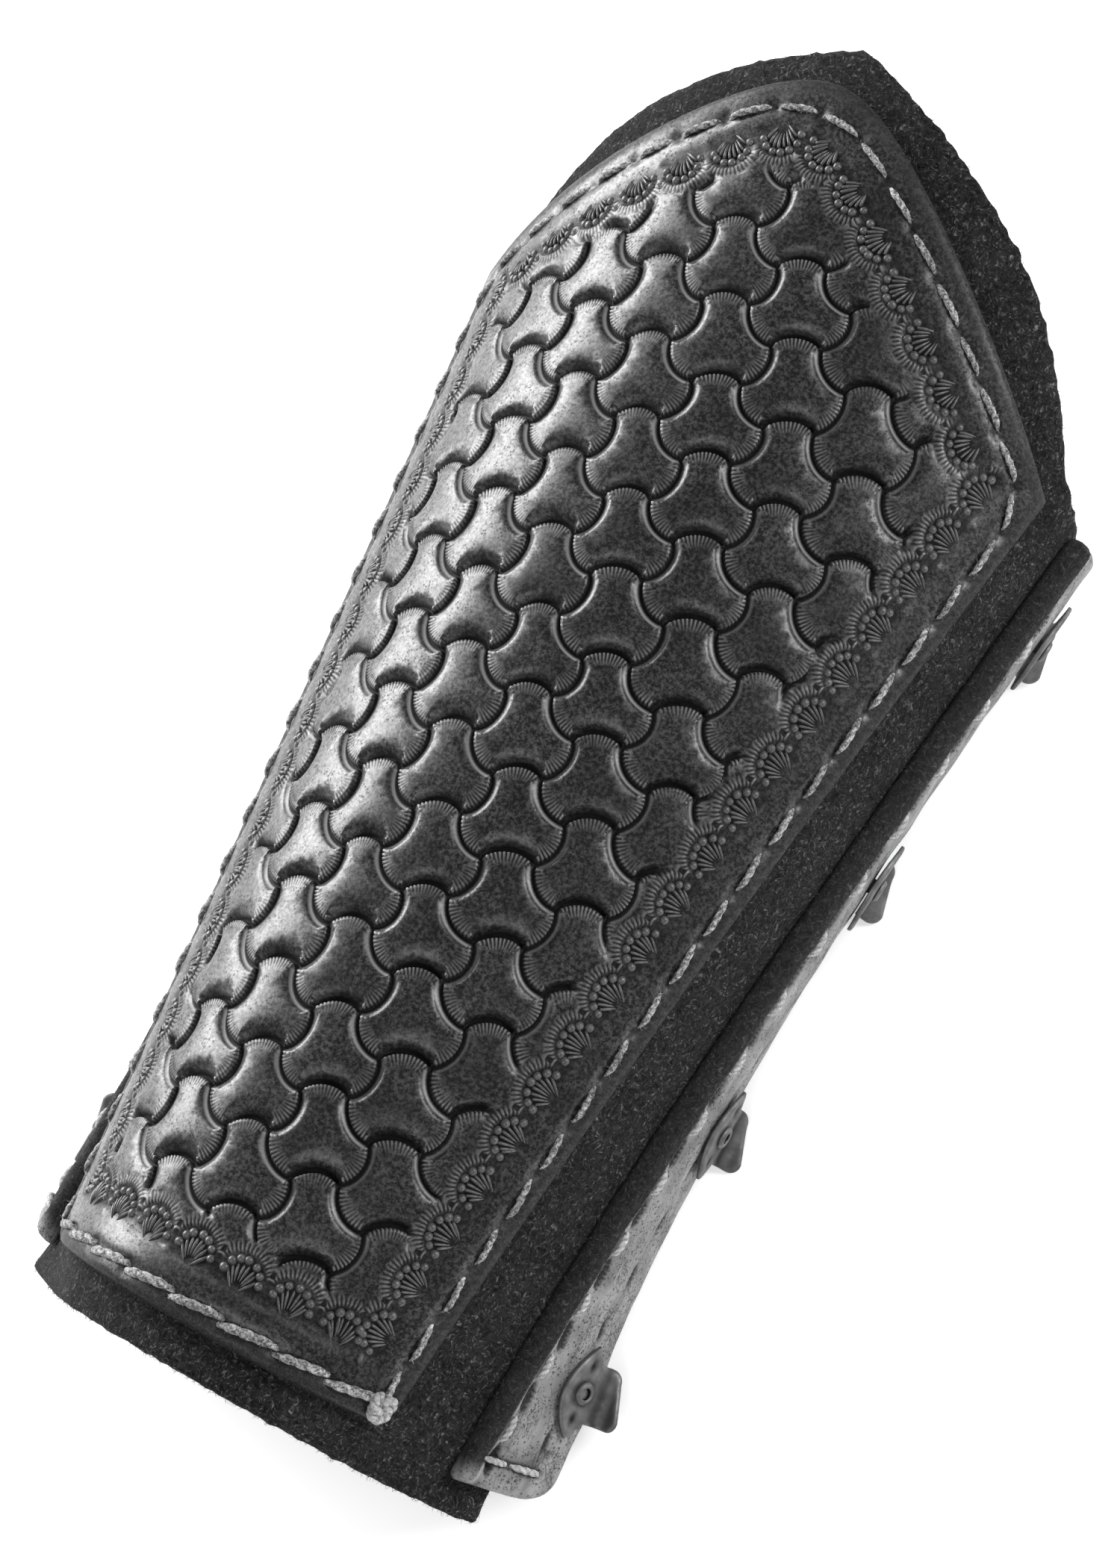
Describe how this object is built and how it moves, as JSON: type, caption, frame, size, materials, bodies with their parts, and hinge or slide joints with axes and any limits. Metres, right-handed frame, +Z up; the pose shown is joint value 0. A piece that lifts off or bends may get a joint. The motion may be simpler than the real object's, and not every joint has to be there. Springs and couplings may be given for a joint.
{
  "type": "leather bracer",
  "caption": "Forearm guard: a stamped leather plate with a pointed elbow arch on a soft suede lining, with lacing hooks on leather strips along its open underside.",
  "frame": {"origin": "middle of the footprint, on the surface that the bracer lies on", "axes": "+Y towards the elbow end, +Z up through the plate's crest, +X to the right strip"},
  "size_m": [0.132, 0.255, 0.0667],
  "materials": {
    "tooled_leather": "satin",
    "suede": "matte",
    "strip_leather": "satin",
    "dark_metal": "satin"
  },
  "bodies": {
    "root": {"plate": "tooled_leather", "lining": "suede", "strip_left": "strip_leather", "strip_right": "strip_leather", "hook_left_1": "dark_metal", "hook_left_2": "dark_metal", "hook_left_3": "dark_metal", "hook_left_4": "dark_metal", "hook_right_1": "dark_metal", "hook_right_2": "dark_metal", "hook_right_3": "dark_metal", "hook_right_4": "dark_metal", "rivet_left_1": "dark_metal", "rivet_left_2": "dark_metal", "rivet_left_3": "dark_metal", "rivet_left_4": "dark_metal", "rivet_right_1": "dark_metal", "rivet_right_2": "dark_metal", "rivet_right_3": "dark_metal", "rivet_right_4": "dark_metal"}
  },
  "joints": []
}
